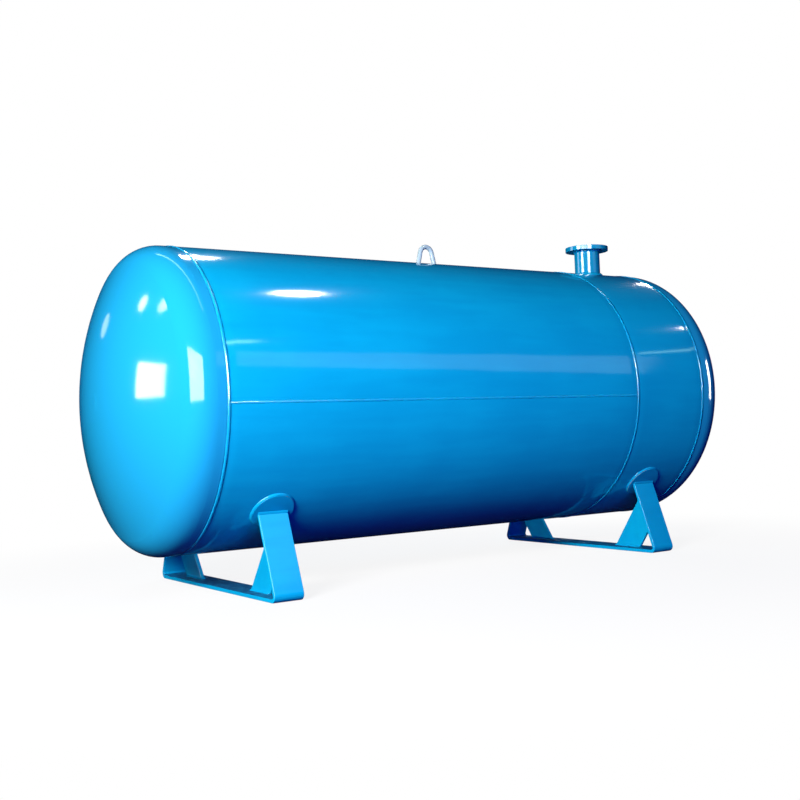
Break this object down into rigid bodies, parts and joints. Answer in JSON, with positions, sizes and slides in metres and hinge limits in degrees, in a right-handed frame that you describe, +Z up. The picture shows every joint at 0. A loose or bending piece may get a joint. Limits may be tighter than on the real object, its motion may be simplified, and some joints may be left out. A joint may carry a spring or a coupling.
{
  "type": "horizontal pressure tank",
  "caption": "Horizontal cylindrical pressure tank with dished heads, a flanged top nozzle, a lifting lug and bent flat-bar supports.",
  "frame": {"origin": "on the floor, under the middle of the tank", "axes": "+X along the tank towards the head beside the nozzle, +Z up, -Y the side with the long seam of the long course"},
  "size_m": [3.93, 1.606, 1.995],
  "materials": {
    "shell_paint": "glossy blue enamel",
    "head_paint": "glossy blue enamel",
    "weld_paint": "glossy blue enamel over rippled weld",
    "nozzle_paint": "glossy blue enamel",
    "support_paint": "semi-gloss blue enamel"
  },
  "bodies": {
    "root": {"shell_course_long": "shell_paint", "shell_course_short": "shell_paint", "head_left": "head_paint", "head_right": "head_paint", "girth_weld_left": "weld_paint", "girth_weld_middle": "weld_paint", "girth_weld_right": "weld_paint", "long_weld_long_course": "weld_paint", "long_weld_short_course": "weld_paint", "nozzle_flange_weld": "weld_paint", "nozzle_shell_weld": "weld_paint", "lug_weld_left": "weld_paint", "lug_weld_right": "weld_paint", "nozzle_pipe": "nozzle_paint", "nozzle_flange": "nozzle_paint", "lifting_lug": "nozzle_paint", "support_bar_left": "support_paint", "brace_left_near": "support_paint", "wear_pad_left_near": "shell_paint", "pad_weld_left_near": "weld_paint", "leg_weld_left_near": "weld_paint", "brace_left_far": "support_paint", "wear_pad_left_far": "shell_paint", "pad_weld_left_far": "weld_paint", "leg_weld_left_far": "weld_paint", "support_bar_right": "support_paint", "brace_right_near": "support_paint", "wear_pad_right_near": "shell_paint", "pad_weld_right_near": "weld_paint", "leg_weld_right_near": "weld_paint", "brace_right_far": "support_paint", "wear_pad_right_far": "shell_paint", "pad_weld_right_far": "weld_paint", "leg_weld_right_far": "weld_paint"}
  },
  "joints": []
}
